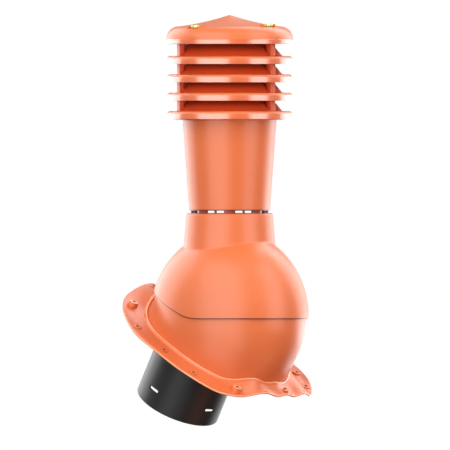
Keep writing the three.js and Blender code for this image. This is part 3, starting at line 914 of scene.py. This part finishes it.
def cone_rise(share):
    """Height of the cone over the shoulder, at a share of the way in to the apex"""
    return (CAP_APEX - CAP_SHOULDER) * (CONE_START * share + (1 - CONE_START) * share ** 2)


def cap_outline(inset):
    """One side of the cap's sheet, from the lip's foot to the apex"""
    lip_top = CAP_FOOT + CAP_LIP
    step, easing = (0, 0) if inset else (LIP_STEP, LIP_EASING)
    turns = np.linspace(0, np.pi / 2, CAP_ROWS)
    shoulder = np.column_stack([
        CAP_SHOULDER_RADIUS + (CAP_RADIUS - CAP_SHOULDER_RADIUS - inset - step) * np.cos(turns),
        lip_top + (CAP_SHOULDER - lip_top - inset) * np.sin(turns)])
    shares = np.linspace(0, 1, CAP_ROWS)[1:]
    cone = np.column_stack([CAP_SHOULDER_RADIUS * (1 - shares), CAP_SHOULDER - inset + cone_rise(shares)])
    radius = CAP_RADIUS - inset
    lip = [(radius - easing, CAP_FOOT), (radius, CAP_FOOT + easing), (radius, lip_top - step)]
    return np.concatenate([lip, shoulder, cone])


def level_spot(place, along, height):
    """Where a level lies on the cap's shoulder, and which way"""
    spot = (LEVEL_RADIUS * math.cos(place), LEVEL_RADIUS * math.sin(place), height)
    return Matrix.Translation(spot) @ Matrix.Rotation(along, 4, "Z")


cap = turned("cap_moulding", np.concatenate([cap_outline(0), cap_outline(WALL)[::-1]]))
pocket_length = LEVEL_LENGTH + 2 * GAP
pocket_width = LEVEL_DIAMETER + 2 * GAP
cradles, pockets = [], []
for place, along, height in LEVELS:
    rim = tablet(pocket_length + 2 * CRADLE_RIM, pocket_width + 2 * CRADLE_RIM, CRADLE_EASING)
    cradle = prism("cradle", rim, CRADLE_FOOT - height, CRADLE_RISE)
    notch = tablet(pocket_length, pocket_width + POCKET_REACH, POCKET_EASING) + (0, POCKET_REACH / 2)
    pocket = prism("pocket", notch, -pocket_width / 2, 2 * pocket_width)
    for made, group in ((cradle, cradles), (pocket, pockets)):
        made.data.transform(level_spot(place, along, height))
        group.append(made)
worked(cap, cradles, "UNION")
worked(cap, pockets, "DIFFERENCE")
dressed(cap, plumb_setting, lip_polished(terracotta_plastic("terracotta_cap"), CAP_RADIUS))
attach(cap, "pipe_hood")
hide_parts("cap")

# Spirit levels
# Two sealed vials of clear yellow-green acrylic, each with a bubble and two gauge lines, pressed into the
# cap. One lies along the slope and one across it, so that the pipe can be set plumb.
VIAL_COLOUR = (0.72, 0.80, 0.03, 1)
VIAL_MIDDLE = (0.90, 0.93, 0.74, 1)
VIAL_EASING = 1.6
VIAL_SIDES = 48
BUBBLE_LENGTH = 8.5
BUBBLE_DIAMETER = 4.4
BUBBLE_LIFT = 0.15
BUBBLE_FADE = (0.36, 0.56)
BUBBLE_SIDES = 24
BUBBLE_ROWS = 17
BUBBLE_DIM = (0.86, 0.9, 0.8, 1)
BUBBLE_BRIGHT = (0.95, 0.97, 0.9, 1)
LINE_SPACING = 9.0
LINE_WIDTH = 0.5
LINE_DEPTH = 0.1
LINE_PROUD = 0.12
LINE_EASING = 0.05
INK_BLACK = (0.02, 0.02, 0.02, 1)
INK_WORN = (0.05, 0.05, 0.04, 1)


def vial_acrylic(number, middle):
    """Clear tinted acrylic, pale in the middle where the bubble floats"""
    finish = Finish(f"vial_acrylic_{number}")
    streaks = finish.noise(260.0, 2.0)
    ends = {0: finish.place, 1: middle}
    away = finish.node("ShaderNodeVectorMath", {"operation": "DISTANCE"}, ends, "Value")
    liquid = finish.ramp(away * (1 / (BUBBLE_LENGTH * MM)), *BUBBLE_FADE)
    return finish.surface(Base_Color=finish.between(liquid, VIAL_MIDDLE, VIAL_COLOUR),
                          Roughness=0.06 + streaks * 0.04, Transmission_Weight=0.2, IOR=1.49)


def bubble_finish():
    """The pale glint of the bubble"""
    finish = Finish("bubble_pale")
    clouds = finish.noise(700.0, 1.0)
    return finish.surface(Base_Color=finish.between(clouds, BUBBLE_DIM, BUBBLE_BRIGHT),
                          Roughness=0.08 + clouds * 0.05)


def gauge_ink():
    """Black ink of the gauge lines"""
    finish = Finish("gauge_ink")
    clouds = finish.noise(900.0, 1.0)
    return finish.surface(Base_Color=finish.between(clouds, INK_BLACK, INK_WORN),
                          Roughness=0.5 + clouds * 0.1)


bubble_pale = bubble_finish()
line_ink = gauge_ink()
lengthwise = Matrix.Rotation(math.pi / 2, 4, "Y")
for i, (place, along, height) in enumerate(LEVELS):
    setting = plumb_setting @ level_spot(place, along, height) @ lengthwise
    radius, half = LEVEL_DIAMETER / 2, LEVEL_LENGTH / 2
    vial = turned(f"vial_tube_{i + 1}", eased([
        (0, -half, 0),
        (radius, -half, VIAL_EASING),
        (radius, half, VIAL_EASING),
        (0, half, 0),
    ]), VIAL_SIDES)
    dressed(vial, setting, vial_acrylic(i + 1, setting.translation))
    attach(vial, "pipe_hood")
    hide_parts(f"level_vial_{i + 1}")
    turns = np.linspace(-np.pi / 2, np.pi / 2, BUBBLE_ROWS)
    long_drop = np.column_stack([BUBBLE_DIAMETER / 2 * np.cos(turns), BUBBLE_LENGTH / 2 * np.sin(turns)])
    bubble = turned(f"vial_bubble_{i + 1}", long_drop, BUBBLE_SIDES)
    bubble.data.transform(Matrix.Translation((BUBBLE_DIAMETER / 2 - radius - BUBBLE_LIFT, 0, 0)))
    dressed(bubble, setting, bubble_pale)
    lines = []
    for side in (-1, 1):
        low = side * LINE_SPACING / 2 - LINE_WIDTH / 2
        high = low + LINE_WIDTH
        lines.append(turned("line", eased([
            (radius - LINE_DEPTH, low, 0),
            (radius + LINE_PROUD, low, LINE_EASING),
            (radius + LINE_PROUD, high, LINE_EASING),
            (radius - LINE_DEPTH, high, 0),
        ]), VIAL_SIDES))
    gauge = joined(lines)
    gauge.name = f"vial_lines_{i + 1}"
    dressed(gauge, setting, line_ink)
    for extra in (bubble, gauge):
        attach(extra, "pipe_hood")

# Stage
# A floor and a surround of even white. Only the camera sees them, so that they neither shade nor light the
# part.
FLOOR_HEIGHT = -0.172
FLOOR_RADIUS = 1.2
SURROUND_RADIUS = 18.5


def plain_white():
    """Even white, without shading"""
    material = bpy.data.materials.new("plain_white")
    material.use_nodes = True
    nodes = material.node_tree.nodes
    nodes.remove(nodes["Principled BSDF"])
    glow = nodes.new("ShaderNodeEmission")
    glow.inputs["Strength"].default_value = 1.0
    material.node_tree.links.new(glow.outputs[0], nodes["Material Output"].inputs["Surface"])
    return material


white = plain_white()
bpy.ops.mesh.primitive_circle_add(vertices=96, radius=FLOOR_RADIUS, fill_type="NGON",
                                  location=(0, 0, FLOOR_HEIGHT))
floor = bpy.context.object
floor.name = "floor"
bpy.ops.mesh.primitive_uv_sphere_add(segments=48, ring_count=24, radius=SURROUND_RADIUS)
surround = bpy.context.object
surround.name = "surround"
for piece in (floor, surround):
    piece.data.materials.append(white)
    piece.visible_diffuse = False
    piece.visible_glossy = False
    piece.visible_transmission = False
    piece.visible_shadow = False

# Light
# Two large softboxes in front, each with another above it. The low boxes and the strips behind only show in
# the gloss, but for a warm bounce at the lower right. A box above and one behind light the back, and the sky
# is pale and darker below. Azimuths are from the camera's, to the right.
CAMERA_AZIMUTH = -45.0
SUBJECT = Vector((0.0, -0.0545, 0.04))
SKY = {"From Min": -0.3, "From Max": 0.4, "To Min": 0.05, "To Max": 0.45}
LIGHT_DISTANCE = 2.0
BOUNCE = (1.0, 0.36, 0.2)


def direction(azimuth, elevation):
    """The way from the part to a place round it"""
    turn, lift = math.radians(azimuth), math.radians(elevation)
    return Vector((math.sin(turn) * math.cos(lift), -math.cos(turn) * math.cos(lift), math.sin(lift)))


def softbox(name, azimuth, elevation, width, height, radiance, soft_light=True, colour=(1, 1, 1)):
    """An area light of one radiance, which faces the part. Without soft light it only shows in the gloss"""
    lamp = bpy.data.lights.new(name, "AREA")
    lamp.shape = "RECTANGLE"
    lamp.size = width
    lamp.size_y = height
    lamp.energy = radiance * math.pi * width * height
    lamp.color = colour
    box = bpy.data.objects.new(name, lamp)
    away = direction(CAMERA_AZIMUTH + azimuth, elevation)
    box.location = SUBJECT + away * LIGHT_DISTANCE
    box.rotation_euler = away.to_track_quat("Z", "Y").to_euler()
    box.visible_camera = False
    box.visible_diffuse = soft_light
    bpy.context.scene.collection.objects.link(box)


softbox("left", -31, 8, 2.2, 1.7, 2.8)
softbox("left_top", -38, 47, 1.9, 1.1, 2.6)
softbox("left_low", -31, -30, 1.9, 1.2, 2.6, False)
softbox("right", 55, 8, 1.25, 1.7, 3.0)
softbox("right_top", 62, 47, 1.2, 1.1, 2.6)
softbox("right_low", 62, -54, 1.2, 1.2, 1.9, colour=BOUNCE)
softbox("strip_right_low", 150, -16, 2.0, 1.1, 1.9, False)
softbox("strip_left", -128, 18, 1.9, 2.4, 3.4, False)
softbox("strip_right", 128, 18, 1.5, 2.4, 3.4, False)
softbox("rear_top", 148, 58, 1.3, 1.1, 2.8)
softbox("back", 180, 5, 2.4, 0.9, 1.3)
sky = bpy.data.worlds.new("sky")
bpy.context.scene.world = sky
sky.use_nodes = True
sky_nodes = sky.node_tree.nodes
sky_links = sky.node_tree.links
up = sky_nodes.new("ShaderNodeSeparateXYZ")
sky_links.new(sky_nodes.new("ShaderNodeTexCoord").outputs["Generated"], up.inputs[0])
fade = sky_nodes.new("ShaderNodeMapRange")
for name, value in SKY.items():
    fade.inputs[name].default_value = value
sky_links.new(up.outputs["Z"], fade.inputs["Value"])
sky_links.new(fade.outputs[0], sky_nodes["Background"].inputs["Strength"])
sky_nodes["Background"].inputs["Color"].default_value = (1, 1, 1, 1)

# Camera
# Level, from the left of the downslope side, without perspective, as through a very long lens. The middle of
# the view is a little to the left of the pipe's axis.
CAMERA_DISTANCE = 3.0
FRAME_HEIGHT = 0.65484
VIEW_HEIGHT = 0.1698
VIEW_LEFT = 0.0067
lens = bpy.data.cameras.new("camera")
lens.type = "ORTHO"
lens.ortho_scale = FRAME_HEIGHT
camera = bpy.data.objects.new("camera", lens)
back = direction(CAMERA_AZIMUTH, 0)
leftward = direction(CAMERA_AZIMUTH - 90, 0)
axis = plumb_setting.translation
camera.location = Vector((axis.x, axis.y, VIEW_HEIGHT)) + leftward * VIEW_LEFT + back * CAMERA_DISTANCE
camera.rotation_euler = back.to_track_quat("Z", "Y").to_euler()
bpy.context.scene.collection.objects.link(camera)
bpy.context.scene.camera = camera
bpy.context.scene.view_settings.view_transform = "Standard"
